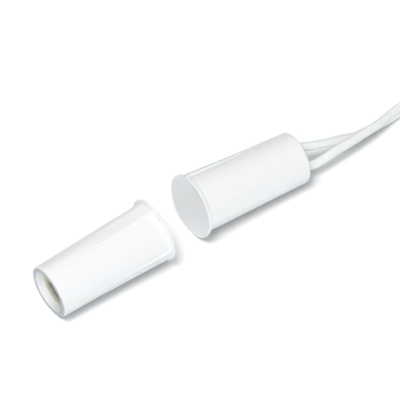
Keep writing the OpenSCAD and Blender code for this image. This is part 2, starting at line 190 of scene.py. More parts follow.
class StageSettings(bpy.types.PropertyGroup):
    """Camera, floor and lamps."""

    camera_place: spot("Camera place", "Place of the camera", (-0.163906, -0.247357, 0.340177))
    camera_target: spot("Camera target", "Point it looks at", (0.008153, 0.004651, -0.000122))
    focal_length: number("Focal length", "Focal length on a 36 mm wide frame, in mm", 267.01)
    floor_size: size("Floor size", "Width of the floor", 3000)
    floor_seen: tint("Floor seen", "Colour of the floor for the camera", (0.60, 0.60, 0.605))
    floor_bounce: tint("Floor bounce", "Colour of what it throws back", (0.44, 0.468, 0.478))
    sky_light: light("Sky light", "Even light from all round", 0.36)
    sky_tint: tint("Sky", "Colour of the even light", (0.935, 0.99, 1.0))
    sky_dip: light("Sky dip", "How much dimmer the sky is low behind the part", 0.28)
    key_light: light("Key light", "Power of the lamp behind the camera", 9.4)
    overhead_light: light("Overhead light", "Power of the lamp overhead", 1.4)
    back_light: light("Back light", "Power of the lamp behind the part", 2.8)
    floor_light: light("Floor light", "Power of the lamp that lights the floor alone", 14.0)


# Node trees


def pick(sockets, key):
    """The socket of that place or name, and the one in use where several share a name."""
    if isinstance(key, int):
        return sockets[key]
    return next(socket for socket in sockets if socket.name == key and socket.enabled)


class Value:
    """A node's output. Arithmetic on it adds Math nodes to its tree."""

    def __init__(self, tree, link):
        self.tree = tree
        self.link = link

    def beside(self, key):
        """Another output of the same node."""
        return Value(self.tree, pick(self.link.node.outputs, key))

    def maths(self, operation, *others):
        """A Math node on this value and others."""
        return self.tree.maths(operation, self, *others)

    def __add__(self, other):
        return self.maths("ADD", other)

    def __sub__(self, other):
        return self.maths("SUBTRACT", other)

    def __rsub__(self, other):
        return self.tree.maths("SUBTRACT", other, self)

    def __mul__(self, other):
        return self.maths("MULTIPLY", other)

    def __truediv__(self, other):
        return self.maths("DIVIDE", other)

    def __rtruediv__(self, other):
        return self.tree.maths("DIVIDE", other, self)

    __radd__ = __add__
    __rmul__ = __mul__


class Tree:
    """A node tree under construction."""

    def __init__(self, tree):
        self.tree = tree

    def node(self, kind, sockets=None, out=0, **settings):
        """Adds a node. Its settings are set first, and then its sockets get values or links."""
        made = self.tree.nodes.new(kind)
        for name, value in settings.items():
            setattr(made, name, value)
        for key, value in (sockets or {}).items():
            socket = pick(made.inputs, key)
            if isinstance(value, Value):
                self.tree.links.new(value.link, socket)
            else:
                socket.default_value = value
        return Value(self, pick(made.outputs, out)) if made.outputs else None

    def maths(self, operation, *values):
        """A Math node on these values."""
        return self.node("ShaderNodeMath", dict(enumerate(values)), operation=operation)

    def vector(self, operation, sockets, out="Vector"):
        """A Vector Math node."""
        return self.node("ShaderNodeVectorMath", sockets, out, operation=operation)

    def spread(self, value, low, high, to_low, to_high, smooth=False):
        """value carried from one range to another, and held at the ends."""
        return self.node(
            "ShaderNodeMapRange",
            {0: value, 1: low, 2: high, 3: to_low, 4: to_high},
            interpolation_type="SMOOTHSTEP" if smooth else "LINEAR",
            clamp=True,
        )

    def seen_ray(self):
        """1 for what the camera sees, also through glass, else 0."""
        camera = self.node("ShaderNodeLightPath", out="Is Camera Ray")
        return camera.maths("MAXIMUM", camera.beside("Is Transmission Ray"))


class Finish(Tree):
    """A material under construction."""

    def __init__(self, name):
        self.material = bpy.data.materials.new(name)
        self.material.use_nodes = True
        super().__init__(self.material.node_tree)
        self.tree.nodes.clear()

    def place(self):
        """Object coordinates, in metres."""
        return self.node("ShaderNodeTexCoord", out="Object")

    def stored(self, name):
        """A number from 0 to 1 that the mesh keeps for each of its points."""
        return self.node("ShaderNodeAttribute", out="Fac", attribute_name=name)

    def noise(self, scale, detail=3.0, roughness=0.5, stretched=None, place=None):
        """Noise from 0 to 1, with features of about 1/scale metres.

        stretched scales its coordinates along each axis. They are the object's own unless a
        place is given.
        """
        place = place or self.place()
        if stretched:
            place = self.node("ShaderNodeMapping", {"Vector": place, "Scale": stretched})
        return self.node(
            "ShaderNodeTexNoise",
            {"Vector": place, "Scale": scale, "Detail": detail, "Roughness": roughness},
        )

    def cells(self, scale):
        """Distance to the nearest of scattered points, about 1/scale metres from each other."""
        sockets = {"Vector": self.place(), "Scale": scale}
        return self.node("ShaderNodeTexVoronoi", sockets, "Distance", feature="F1")

    def between(self, pattern, low, high):
        """low to high, over the range from 0.3 to 0.7 that noise mostly keeps to."""
        return self.spread(pattern, 0.3, 0.7, low, high)

    def blend(self, factor, first, second):
        """A colour between two colours."""
        sockets = {0: factor, 6: first, 7: second}
        return self.node("ShaderNodeMix", sockets, out=2, data_type="RGBA")

    def toned(self, pattern, colour, first, second):
        """A colour that a pattern carries from one shade of it to another."""
        return self.blend(pattern, shade(colour, first), shade(colour, second))

    def painted(self, colour, pattern, rough, relief, height=None, **sockets):
        """The material with a Principled shader.

        The pattern carries its roughness between the two of rough, and a height of 1, which is
        the pattern's own if none is given, stands relief mm proud. Underscores in the names of
        other sockets stand for spaces.
        """
        named = {name.replace("_", " "): value for name, value in sockets.items()}
        bump = {"Height": height or pattern, "Distance": relief * MM, "Strength": 1.0}
        named["Base Color"] = colour
        named["Roughness"] = self.between(pattern, *rough)
        named["Normal"] = self.node("ShaderNodeBump", bump)
        return self.done(self.node("ShaderNodeBsdfPrincipled", named))

    def done(self, shader):
        """The material with this shader."""
        self.node("ShaderNodeOutputMaterial", {"Surface": shader})
        return self.material


def shade(colour, factor=1.0):
    """A colour made lighter or darker, with full alpha."""
    return tuple(min(1.0, channel * factor) for channel in colour) + (1.0,)


# Finishes


def case_plastic(tints):
    """Glossy moulded plastic: a faint flow of warmer white, and a very fine mould texture.

    The mouth's edge is painted greyer as painted shade, and the bore a cleaner white as painted
    light.
    """
    finish = Finish("Moulded plastic")
    flow = finish.noise(160, 2, stretched=(1, 2.5, 2.5))
    grain = finish.noise(5200, 4, 0.6)
    warmth = (1.012, 0.995, 0.97)
    warm = tuple(channel * factor for channel, factor in zip(tints.plastic, warmth))
    drift = finish.spread(flow, 0.38, 0.62, 0.0, 1.0)
    colour = finish.blend(drift, shade(tints.plastic), shade(warm))
    # Painted shade on the mouth's edge, and painted light on the bore
    for name, other in (("Bore", tints.bore), ("EdgeShade", tints.edge)):
        colour = finish.blend(finish.stored(name), colour, shade(other))
    return finish.painted(
        colour,
        grain,
        rough=(0.26, 0.38),
        relief=0.003,
        IOR=1.52,
        Subsurface_Weight=0.12,
        Subsurface_Radius=(0.8 * MM, 0.7 * MM, 0.6 * MM),
        Subsurface_Scale=1.0,
    )


def lead_jacket(tints):
    """Extruded jacket: faint streaks along the lead, from its UV map."""
    finish = Finish("Lead jacket")
    along = finish.node("ShaderNodeUVMap", uv_map="Jacket")
    streaks = finish.noise(1.0, stretched=(26, 60, 1), place=along)
    soil = finish.noise(420, 4, 0.6)
    return finish.painted(
        finish.toned(soil, tints.jacket, 1.0, 0.965),
        streaks,
        rough=(0.36, 0.52),
        relief=0.008,
        IOR=1.53,
        Subsurface_Weight=0.15,
        Subsurface_Radius=(0.6 * MM, 0.5 * MM, 0.4 * MM),
        Subsurface_Scale=1.0,
    )


def potting_resin(tints):
    """Cast resin: mottled olive brown with pits, paler thin at the wall, darker inward as painted
    shade.
    """
    finish = Finish("Potting resin")
    clouds = finish.noise(700, 4, 0.62)
    hollow = finish.spread(finish.cells(2600), 0.0, 0.28, 0.0, 1.0, smooth=True)
    # Darker inward from the wall: painted shade of the recess
    depth = finish.between(clouds, 0.8, 1.1) * finish.stored("InwardShade")
    colour = finish.blend(depth, shade(tints.potting), shade(tints.potting_shade))
    height = hollow * 0.4 + clouds
    return finish.painted(colour, clouds, rough=(0.3, 0.55), relief=0.03, height=height, IOR=1.55)


def drawn_metal(name, colour, scale, rough):
    """Bright metal with fine streaks along the case axis."""
    finish = Finish(name)
    streaks = finish.noise(scale, 3, 0.6, stretched=(0.12, 1, 1))
    tone = finish.toned(streaks, colour, 0.9, 1.08)
    return finish.painted(tone, streaks, rough, relief=0.003, Metallic=1.0)


def solder_metal(tints):
    """Solder: bright and slightly lumpy."""
    finish = Finish("Solder")
    lumps = finish.noise(2400)
    tone = finish.toned(lumps, tints.solder, 0.88, 1.1)
    return finish.painted(tone, lumps, rough=(0.14, 0.34), relief=0.02, Metallic=1.0)


def clear_glass():
    """Drawn glass with a faint ripple."""
    finish = Finish("Clear glass")
    ripple = finish.noise(900, 2, stretched=(0.3, 1, 1))
    tone = finish.blend(ripple, (0.86, 0.95, 0.90, 1), (0.93, 0.98, 0.95, 1))
    return finish.painted(
        tone, ripple, rough=(0.02, 0.06), relief=0.004, Transmission_Weight=0.92, IOR=1.49
    )


def sleeve_rubber(tints):
    """Soft sleeve: matt, with a slight bloom."""
    finish = Finish("Sleeve rubber")
    bloom = finish.noise(1500, 4)
    tone = finish.toned(bloom, tints.sleeve, 0.92, 1.05)
    return finish.painted(tone, bloom, rough=(0.55, 0.75), relief=0.008)


def magnet_alloy(tints):
    """Cast magnet, ground all round: dark grey with grinding marks and small voids."""
    finish = Finish("Magnet alloy")
    marks = finish.noise(1100, 4, 0.65, stretched=(5, 1, 1))
    sound = finish.spread(finish.cells(900), 0.05, 0.16, 0.0, 1.0, smooth=True)
    tone = finish.toned(marks, tints.magnet, 0.8, 1.25)
    height = marks * 0.3 + sound
    return finish.painted(
        tone, marks, rough=(0.35, 0.55), relief=0.01, height=height, Metallic=0.85
    )


def tie_plastic(tints):
    """Dark band: fine ribs across it, a little worn."""
    finish = Finish("Tie plastic")
    band = finish.node("ShaderNodeUVMap", uv_map="Band")
    sockets = {"Vector": band, "Scale": 900.0, "Distortion": 0.4}
    ribs = finish.node("ShaderNodeTexWave", sockets, out=1, bands_direction="X")
    wear = finish.noise(1300, 4, 0.6)
    tone = finish.toned(finish.spread(wear, 0.5, 0.8, 0.0, 1.0), tints.tie, 1.0, 2.6)
    return finish.painted(tone, wear, rough=(0.32, 0.5), relief=0.01, height=ribs)


# Meshes


def arc(centre, radius, start, end, steps=8):
    """Points of an arc as [radius, station] pairs, with its angles in degrees."""
    angles = [math.radians(start + (end - start) * i / steps) for i in range(steps + 1)]
    return [Vector(centre) + radius * Vector((math.cos(a), math.sin(a))) for a in angles]


def stretch(start, end, step, close=0.04 * MM):
    """Points between two others, with one close to each so that shading stays crisp there."""
    start, end = Vector(start), Vector(end)
    run = (end - start).length
    inner = max(0, run - 2 * close)
    count = max(1, round(inner / step))
    places = [close + inner * i / count for i in range(count + 1)]
    return [start.lerp(end, place / run) for place in places]


def put(name, data):
    """A new object in the scene, at the origin."""
    made = bpy.data.objects.new(name, data)
    bpy.context.scene.collection.objects.link(made)
    return made


def point_at(made, place, target):
    """Puts a camera or a lamp at a place, and turns it to a target."""
    made.location = place
    made.rotation_euler = (Vector(target) - Vector(place)).to_track_quat("-Z", "Y").to_euler()


def solid(name, shape, material):
    """A closed bmesh as a new object: its faces point outwards, and only end caps are flat."""
    bmesh.ops.recalc_face_normals(shape, faces=shape.faces)
    for face in shape.faces:
        face.smooth = len(face.verts) <= 4
    mesh = bpy.data.meshes.new(name)
    shape.to_mesh(mesh)
    shape.free()
    mesh.materials.append(material)
    return put(name, mesh)


def turned(name, profile, columns, material, lift):
    """A closed solid turned round the Z axis from a profile that starts and ends on the axis.

    lift moves a point, given it as a vector, to where its surface really is.
    """
    shape = bmesh.new()
    rings = []
    for radius, station in profile:
        ring = []
        for k in range(columns if radius > 1e-9 else 1):
            angle = math.tau * k / columns
            point = Vector((radius * math.cos(angle), radius * math.sin(angle), station))
            ring.append(shape.verts.new(lift(point)))
        rings.append(ring)
    for low, high in zip(rings, rings[1:]):
        for k in range(columns):
            corners = [low[k % len(low)], low[(k + 1) % len(low)]]
            corners += [high[(k + 1) % len(high)], high[k % len(high)]]
            corners = list(dict.fromkeys(corners))
            if len(corners) > 2:
                shape.faces.new(corners)
    return solid(name, shape, material)


def turning_frames(points):
    """A (side, up) frame at each point of a path, which turns as little as it can on the way."""
    tangents = []
    for i in range(len(points)):
        before, after = points[max(i - 1, 0)], points[min(i + 1, len(points) - 1)]
        tangents.append((after - before).normalized())
    side = tangents[0].cross(UP).normalized()
    frames = []
    for i, tangent in enumerate(tangents):
        if i:
            side = tangents[i - 1].rotation_difference(tangent) @ side
        side = (side - tangent * side.dot(tangent)).normalized()
        frames.append((side, tangent.cross(side)))
    return frames


def swept(name, points, section, material, uv_name, twist=0.0, closed=False):
    """A closed section, a list of (side, up) places, swept along a path, with its run as UV.

    twist turns the section along the way, in radians for each metre.
    """
    shape = bmesh.new()
    uv = shape.loops.layers.uv.new(uv_name)
    girth = [0.0]
    for here, there in zip(section, section[1:] + section[:1]):
        girth.append(girth[-1] + (Vector(there) - Vector(here)).length)
    rings, runs, run = [], [], 0.0
    for i, (point, (side, up)) in enumerate(zip(points, turning_frames(points))):
        if i:
            run += (point - points[i - 1]).length
        turn = twist * run
        ring = []
        for x, y in section:
            across = x * math.cos(turn) - y * math.sin(turn)
            over = x * math.sin(turn) + y * math.cos(turn)
            ring.append(shape.verts.new(point + across * side + over * up))
        rings.append(ring)
        runs.append(run)
    if closed:
        runs.append(run + (points[0] - points[-1]).length)
    for i, (start, end) in enumerate(zip(runs, runs[1:])):
        here, there = rings[i], rings[(i + 1) % len(rings)]
        for k in range(len(section)):
            n = (k + 1) % len(section)
            face = shape.faces.new((here[k], here[n], there[n], there[k]))
            low, high = girth[k], girth[k + 1]
            places = ((start, low), (start, high), (end, high), (end, low))
            for loop, place in zip(face.loops, places):
                loop[uv].uv = place
    if not closed:
        shape.faces.new(rings[0])
        shape.faces.new(rings[-1][::-1])
    return solid(name, shape, material)


def oval_section(width, height, sides):
    """A round or oval section for swept, from its half width and half height."""
    angles = [math.tau * k / sides for k in range(sides)]
    return [(width * math.cos(a), height * math.sin(a)) for a in angles]


# Geometry Nodes


class Shape(Tree):
    """A Geometry Nodes tree with named inputs."""

    def __init__(self, name, values):
        """values gives each input's name and value, and a whole number makes a whole input."""
        super().__init__(bpy.data.node_groups.new(name, "GeometryNodeTree"))
        self.values = values
        kinds = {"Geometry": "Geometry", "Material": "Material"}
        for title, value in values.items():
            kinds[title] = "Int" if isinstance(value, int) else "Float"
        new_socket = self.tree.interface.new_socket
        for title, kind in kinds.items():
            new_socket(title, in_out="INPUT", socket_type="NodeSocket" + kind)
        new_socket("Geometry", in_out="OUTPUT", socket_type="NodeSocketGeometry")
        self.source = self.tree.nodes.new("NodeGroupInput")

    def given(self, title):
        """One of the tree's inputs."""
        return Value(self, self.source.outputs[title])

    def end(self, geometry):
        """Smooth faces, then Realize Instances and Set Material, and the output."""
        smooth = self.node("GeometryNodeSetShadeSmooth", {"Geometry": geometry})
        real = self.node("GeometryNodeRealizeInstances", {"Geometry": smooth})
        painted = self.node(
            "GeometryNodeSetMaterial", {"Geometry": real, "Material": self.given("Material")}
        )
        out = self.tree.nodes.new("NodeGroupOutput")
        self.tree.links.new(painted.link, out.inputs[0])


def grow(made, shape, material, changed=None):
    """Runs a tree on an object and keeps the result as its plain mesh, facing outwards.

    changed holds the inputs that are the object's own.
    """
    modifier = made.modifiers.new(shape.tree.name, "NODES")
    modifier.node_group = shape.tree
    values = shape.values | {"Material": material} | (changed or {})
    for item in shape.tree.interface.items_tree:
        if item.in_out == "INPUT" and item.name in values:
            modifier[item.identifier] = values[item.name]
    bpy.context.view_layer.update()
    evaluated = made.evaluated_get(bpy.context.evaluated_depsgraph_get())
    made.data = bpy.data.meshes.new_from_object(evaluated)
    made.modifiers.clear()
    closed = bmesh.new()
    closed.from_mesh(made.data)
    bmesh.ops.recalc_face_normals(closed, faces=closed.faces)
    closed.to_mesh(made.data)
    closed.free()


def case_shape(values):
    """A turned case whose flat-topped crush ribs rise towards the flange.

    The source geometry is the profile, one point for each row. Each row becomes a ring, and its
    points crowd together at the ribs' soft flanks.
    """
    shape = Shape("Ribbed case", values)
    given = shape.given
    profile = given("Geometry")
    rows = shape.node("GeometryNodeAttributeDomainSize", {"Geometry": profile}, "Point Count")
    around = given("Columns") + 1
    grid = shape.node("GeometryNodeMeshGrid", {"Vertices X": rows, "Vertices Y": around})
    index = shape.node("GeometryNodeInputIndex")
    row = ((index + 0.5) / around).maths("FLOOR")
    column = index - row * around
    position = shape.node("GeometryNodeInputPosition")
    place = shape.node(
        "GeometryNodeSampleIndex",
        {"Geometry": profile, "Value": position, "Index": row},
        data_type="FLOAT_VECTOR",
    )
    radius = shape.node("ShaderNodeSeparateXYZ", {0: place}, "X")
    station = radius.beside("Z")

    # Each rib has a sector of its own, with the rib in its middle. Its flat top takes the share
    # top of a half sector's points, and its flank ends at the share foot.
    top, foot = 0.24, 0.44
    share = column / (given("Columns") / given("Ribs"))
    sector = share.maths("FLOOR")
    across = (share - sector) * 2 - 1
    part = across.maths("ABSOLUTE")
    start, cove_end, tail = given("Rib start"), given("Cove end"), given("Rib length")
    widths = given("Rib front width"), given("Rib tail width")
    reaches = given("Rib front reach"), given("Rib tail reach")
    width = shape.spread(station, start, tail, *widths)
    reach = shape.spread(station, cove_end, tail, *reaches)
    top_angle = (width / 2 / reach).maths("ARCTANGENT")
    flank_angle = given("Rib flank") / reach
    rest_angle = math.pi / given("Ribs") - top_angle - flank_angle
    swing = (
        shape.spread(part, 0.0, top, 0.0, 1.0) * top_angle
        + shape.spread(part, top, foot, 0.0, 1.0) * flank_angle
        + shape.spread(part, foot, 1.0, 0.0, 1.0) * rest_angle
    )
    middle = sector * math.tau / given("Ribs") + given("Rib turn")
    angle = middle + swing * across.maths("SIGN")

    # The ribs' flat tops rise out of the barrel, never out of the face or the bore
    off_middle = swing.maths("MINIMUM", top_angle)
    crest = reach / off_middle.maths("COSINE")
    fade = shape.spread(station, tail, tail + given("Rib fade"), 1.0, 0.0, smooth=True)
    side = shape.spread(part, top, foot, 1.0, 0.0, smooth=True)
    outside = row.maths("LESS_THAN", given("Outer rows"))
    behind = station.maths("GREATER_THAN", start)
    lift = (crest - radius).maths("MAXIMUM", 0.0) * fade * side * outside * behind
    full = radius + lift
    moved = shape.node(
        "ShaderNodeCombineXYZ",
        {0: full * angle.maths("COSINE"), 1: full * angle.maths("SINE"), 2: station},
    )
    placed = shape.node("GeometryNodeSetPosition", {"Geometry": grid, "Position": moved})

    # How far each point belongs to the mouth's edge, which gets painted shade, or to the bore,
    # which gets painted light
    edge_shade_starts, edge_shade_full = 0.14 * MM, 0.03 * MM  # distances from the open end
    length = given("Length")
    near = shape.spread(station, length - edge_shade_starts, length - edge_shade_full, 0.0, 1.0)
    edge = near * radius.maths("GREATER_THAN", given("Mouth reach"))
    for name, amount in (("EdgeShade", edge), ("Bore", (1 - outside) * (1 - edge))):
        placed = shape.node(
            "GeometryNodeStoreNamedAttribute",
            {"Geometry": placed, "Name": name, "Value": amount},
            data_type="FLOAT",
            domain="POINT",
        )
    shape.end(shape.node("GeometryNodeMergeByDistance", {"Geometry": placed, "Distance": 1e-7}))
    return shape


def strand_shape(values):
    """Strands laid round a middle one along a path."""
    shape = Shape("Laid strands", values)
    given = shape.given
    path = shape.node("GeometryNodeMeshToCurve", {"Mesh": given("Geometry")})
    copies = shape.node(
        "GeometryNodeDuplicateElements",
        {"Geometry": path, "Amount": given("Strands")},
        "Geometry",
        domain="SPLINE",
    )
    strand = copies.beside("Duplicate Index")
    along = shape.node("GeometryNodeSplineParameter", out="Factor")
    angle = (strand / given("Strands") + along * given("Turns")) * math.tau
    normal = shape.node("GeometryNodeInputNormal")
    tangent = shape.node("GeometryNodeInputTangent")
    side = shape.vector("CROSS_PRODUCT", {0: tangent, 1: normal})
    lay = given("Lay radius")
    out = shape.vector("SCALE", {0: normal, "Scale": angle.maths("COSINE") * lay})
    over = shape.vector("SCALE", {0: side, "Scale": angle.maths("SINE") * lay})
    offset = shape.vector("ADD", {0: out, 1: over})
    laid = shape.node("GeometryNodeSetPosition", {"Geometry": copies, "Offset": offset})
    every = shape.node("GeometryNodeJoinGeometry", {0: laid})
    shape.tree.links.new(path.link, every.link.node.inputs[0])
    section = shape.node(
        "GeometryNodeCurvePrimitiveCircle",
        {"Resolution": given("Sides"), "Radius": given("Strand radius")},
    )
    wires = shape.node(
        "GeometryNodeCurveToMesh", {"Curve": every, "Profile Curve": section, "Fill Caps": True}
    )
    shape.end(wires)
    return shape


# Places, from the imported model's own mounts


def half_matrix(case_name):
    """From a case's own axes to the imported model's.

    In its own axes a case's flange face is at zero, and +Z runs to its open end.
    """
    mounts = frame["record"]["mounts"]
    mount = next(item for item in mounts if item["name"] == HALVES[case_name]["mount"])
    into = -Vector(mount["axis"]).normalized()
    across = UP.cross(into).normalized()
    down = across.cross(into)
    turn = Matrix((down, across, into)).transposed().to_4x4()
    return Matrix.Translation(Vector(mount["pos_m"])) @ turn


def bore_radius(case, station):
    """Radius of the tapered bore at a station."""
    share = (station - case.front_wall) / (case.length - case.front_wall)
    return (case.bore_floor_d + (case.bore_mouth_d - case.bore_floor_d) * share) / 2


def stem_place(leads, side, station):
    """Middle of a lead in the switch case's own axes. side is 1 for lead a, -1 for lead b."""
    across = side * leads.offset
    return Vector((across * math.cos(leads.roll), across * math.sin(leads.roll), station))


# The leads' routes outside the case repeat the points of the part's source, in mm
LEAD_A_ROUTE = [
    (25.4, 1, 4.7), (27.9, 0.53, 4.15), (30.2, 0.45, 3.48), (32.4, 0.6, 2.6), (34.8, 0.72, 1.6),
    (37.4, 1.1, 0.9), (40, 1.25, 0.75), (42.1, 1.4, 0.7), (44.3, 1.6, 0.7), (47, 1.85, 0.7),
    (50.5, 2, 0.7), (54, 2, 0.7),
]
LEAD_B_ROUTE = [
    (24.8, -1.35, 2.95), (27, -1.45, 3.05), (29.2, -1.27, 3.2), (31.4, -1.05, 3.15),
    (33.4, -0.82, 3), (35.6, -0.5, 2.88), (37.6, -0.15, 2.65), (39.5, 0.3, 2.4),
    (41.6, 0.9, 2.2), (44, 1.42, 2.12), (47, 1.82, 2.12), (50.5, 2, 2.12), (54, 2, 2.12),
]
COIL_CENTRE = Vector((54, -10, 0)) * MM
ENTRY_ANGLE = math.radians(90)
TIE_ANGLE = math.radians(-135)
PATH_STEP = 0.4 * MM
CLIMB_FLAT = 1.7 * MM  # half the length over which a turn lies flat on the tie
CLIMB_END = 5.5 * MM  # distance from the tie at which a turn is back on the floor
TURN_IN = math.radians(160)  # how far before its end a lead starts to leave the innermost turn


def smooth_step(value):
    """0 below 0, 1 above 1 and smooth between."""
    value = min(1.0, max(0.0, value))
    return value * value * (3 - 2 * value)


def curve_through(points, step):
    """A smooth curve through given points, with an even spacing of about step."""
    points = [points[0] * 2 - points[1], *points, points[-1] * 2 - points[-2]]
    line = []
    for before, start, end, after in zip(points, points[1:], points[2:], points[3:]):
        count = max(1, math.ceil((end - start).length / step))
        knots = [0.0]
        for here, there in ((before, start), (start, end), (end, after)):
            knots.append(knots[-1] + math.sqrt((there - here).length))
        for i in range(count):
            t = knots[1] + (knots[2] - knots[1]) * i / count
            line.append(curve_point((before, start, end, after), knots, t))
    return line + [points[-2]]


def curve_point(points, knots, t):
    """One point of the curve through the middle two of four points, by blends of blends."""
    for spans in (((0, 1), (1, 2), (2, 3)), ((0, 2), (1, 3)), ((1, 2),)):
        shares = [(t - knots[i]) / (knots[j] - knots[i]) for i, j in spans]
        points = [a.lerp(b, share) for a, b, share in zip(points, points[1:], shares)]
    return points[0]


def turn_radius(leads, turned_by):
    """Radius of the coil, which shrinks by one pitch with each turn."""
    return leads.coil_radius - leads.coil_pitch * turned_by / math.tau


def coil_point(leads, turned_by, height):
    """Middle of a lead after it has turned so far into its coil, clockwise from above."""
    whole = math.tau * leads.coil_turns
    radius = turn_radius(leads, turned_by)
    turned_in = smooth_step((turned_by - whole + TURN_IN) / TURN_IN)
    radius -= (turn_radius(leads, whole) - leads.end_radius) * turned_in
    angle = ENTRY_ANGLE - turned_by
    away = abs(math.remainder(angle - TIE_ANGLE, math.tau)) * radius
    back_down = smooth_step((away - CLIMB_FLAT) / (CLIMB_END - CLIMB_FLAT))
    climb = leads.tie_thickness * (1 - back_down)
    flat = Vector((math.cos(angle), math.sin(angle), 0)) * radius
    return COIL_CENTRE + flat + UP * (height + climb)


def lead_path(leads, side, start, route, height):
    """The whole middle line of a lead: in the case, out to the floor, and round its coil."""
    case = bpy.context.scene.contact_case
    stations = [start, start + PATH_STEP, case.length - case.recess, case.length + leads.straight]
    to_frame = half_matrix("switch_case")
    points = [to_frame @ stem_place(leads, side, station) for station in stations]
    points += [Vector(point) * MM for point in route]
    line = curve_through(points, PATH_STEP)
    whole = math.tau * leads.coil_turns
    turned_by = 0.0
    while turned_by < whole:
        turned_by = min(whole, turned_by + PATH_STEP / turn_radius(leads, turned_by))
        line.append(coil_point(leads, turned_by, height))
    return line


def stand_in(piece, slot, body, *nodes):
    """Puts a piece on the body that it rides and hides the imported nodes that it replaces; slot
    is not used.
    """
    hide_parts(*nodes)
    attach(piece, body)


# Operators


class CONTACT_OT_stage(bpy.types.Operator):
    """Make the camera, the floor, the lamps and the even light"""

    bl_idname = "contact.stage"
    bl_label = "Stage"

    def execute(self, context):
        stage = context.scene.contact_stage
        camera = put("Camera", bpy.data.cameras.new("Camera"))
        point_at(camera, stage.camera_place, stage.camera_target)
        camera.data.sensor_width = 36
        camera.data.lens = stage.focal_length
        camera.data.clip_start = 0.02
        camera.data.clip_end = 20
        context.scene.camera = camera

        paper = bpy.data.collections.new("Floor alone")
        paper.objects.link(self.floor(stage))
        for name, place, width, power in (
            ("Key lamp", (-0.45, -0.67, 0.89), 0.8, stage.key_light),
            ("Overhead lamp", (0.2, 0, 1.18), 1.0, stage.overhead_light),
            ("Back lamp", (0.12, 0.84, 0.84), 0.8, stage.back_light),
            ("Floor lamp", (-0.42, -0.25, 1.1), 0.4, stage.floor_light),
        ):
            lamp = put(name, bpy.data.lights.new(name, "AREA"))
            point_at(lamp, place, (0, 0, 0))
            lamp.data.size = width
            lamp.data.energy = power
            if name == "Floor lamp":
                lamp.light_linking.receiver_collection = paper
        self.sky(context, stage)
        context.scene.view_settings.view_transform = "Standard"
        return {"FINISHED"}

    def floor(self, stage):
        """A pale floor that keeps the part's shadow.

        From 0.1 to 0.24 m from the middle it goes over to plain white, for the camera alone.
        """
        half = stage.floor_size / 2
        mesh = bpy.data.meshes.new("Floor")
        corners = [(-half, -half, 0), (half, -half, 0), (half, half, 0), (-half, half, 0)]
        mesh.from_pydata(corners, [], [(0, 1, 2, 3)])
        finish = Finish("Floor")
        bounce, near = (
            finish.node("ShaderNodeBsdfDiffuse", {"Color": shade(colour)})
            for colour in (stage.floor_bounce, stage.floor_seen)
        )
        away = finish.vector("LENGTH", {0: finish.place()}, "Value")
        far = finish.spread(away, 0.1, 0.24, 0.0, 1.0, smooth=True)
        white = finish.node("ShaderNodeEmission", {"Color": (1, 1, 1, 1), "Strength": 1.0})
        seen = finish.node("ShaderNodeMixShader", {0: far, 1: near, 2: white})
        sockets = {0: finish.seen_ray(), 1: bounce, 2: seen}
        mesh.materials.append(finish.done(finish.node("ShaderNodeMixShader", sockets)))
        floor = put("Floor", mesh)
        return floor

    def sky(self, context, stage):
        """Even light from all round, which the camera sees as white.

        It dims low behind the part, as the cosine of the angle to the camera's heading goes
        from 0.2 to 0.8.
        """
        world = bpy.data.worlds.new("Studio")
        context.scene.world = world
        world.use_nodes = True
        tree = Tree(world.node_tree)
        tree.tree.nodes.clear()
        ahead = Vector(stage.camera_target) - Vector(stage.camera_place)
        ahead = (ahead - UP * ahead.dot(UP)).normalized()
        direction = tree.node("ShaderNodeTexCoord", out="Generated")
        behind = tree.vector("DOT_PRODUCT", {0: direction, 1: ahead}, "Value")
        dimmed = 1 - tree.spread(behind, 0.2, 0.8, 0.0, stage.sky_dip, smooth=True)
        even, white = (
            tree.node("ShaderNodeBackground", {"Color": shade(colour), "Strength": strength})
            for colour, strength in ((stage.sky_tint, dimmed * stage.sky_light), ((1, 1, 1), 1))
        )
        both = tree.node("ShaderNodeMixShader", {0: tree.seen_ray(), 1: even, 2: white})
        tree.node("ShaderNodeOutputWorld", {"Surface": both})


class CONTACT_OT_leads(bpy.types.Operator):
    """Make the two leads, from their joints in the switch case to the coil, with bare ends"""

    bl_idname = "contact.leads"
    bl_label = "Leads"

    def execute(self, context):
        leads, case = context.scene.contact_leads, context.scene.contact_case
        finishes = context.scene.contact_finishes
        jacket = lead_jacket(finishes)
        values = {
            "Strands": 6,
            "Sides": 14,
            "Strand radius": leads.strand_d / 2,
            "Lay radius": leads.strand_d * 1.02,
            "Turns": 1.6,
        }
        strands = strand_shape(values)
        tin = drawn_metal("Tinned copper", finishes.copper, 3000, rough=(0.2, 0.36))
        radius = leads.lead_d / 2
        section = oval_section(radius, radius, sides=20)
        runs = {
            "lead_a": (1, leads.lead_a_start, LEAD_A_ROUTE, radius),
            "lead_b": (-1, leads.lead_b_start, LEAD_B_ROUTE, radius + leads.layer_height),
        }
        to_frame = half_matrix("switch_case")
        for name, (side, start, route, height) in runs.items():
            path = lead_path(leads, side, start, route, height)
            lead = swept(name + "_jacket", path, section, jacket, "Jacket")
            tip = self.tip(leads, name + "_strands", height, strands, tin)
            stand_in(lead, "lead_jacket", "switch_half", name, "lead_coil")
            stand_in(tip, "tinned_copper", "switch_half", name + "_tip")
            to_frame @ stem_place(leads, side, case.length - case.recess)
        return {"FINISHED"}

    def tip(self, leads, name, height, strands, tin):
        """The stripped strands, which go on from the jacket's cut end."""
        hidden = 0.4 * MM  # length of strand inside the jacket
        steps = 40
        radius = leads.end_radius
        sweep = (leads.tip_length + hidden) / radius
        points = []
        for i in range(steps + 1):
            angle = ENTRY_ANGLE + hidden / radius - sweep * i / steps
            flat = Vector((math.cos(angle), math.sin(angle), 0)) * radius
            points.append(COIL_CENTRE + flat + UP * height)
        mesh = bpy.data.meshes.new(name)
        mesh.from_pydata(points, [(i, i + 1) for i in range(steps)], [])
        tip = put(name, mesh)
        grow(tip, strands, tin)
        return tip


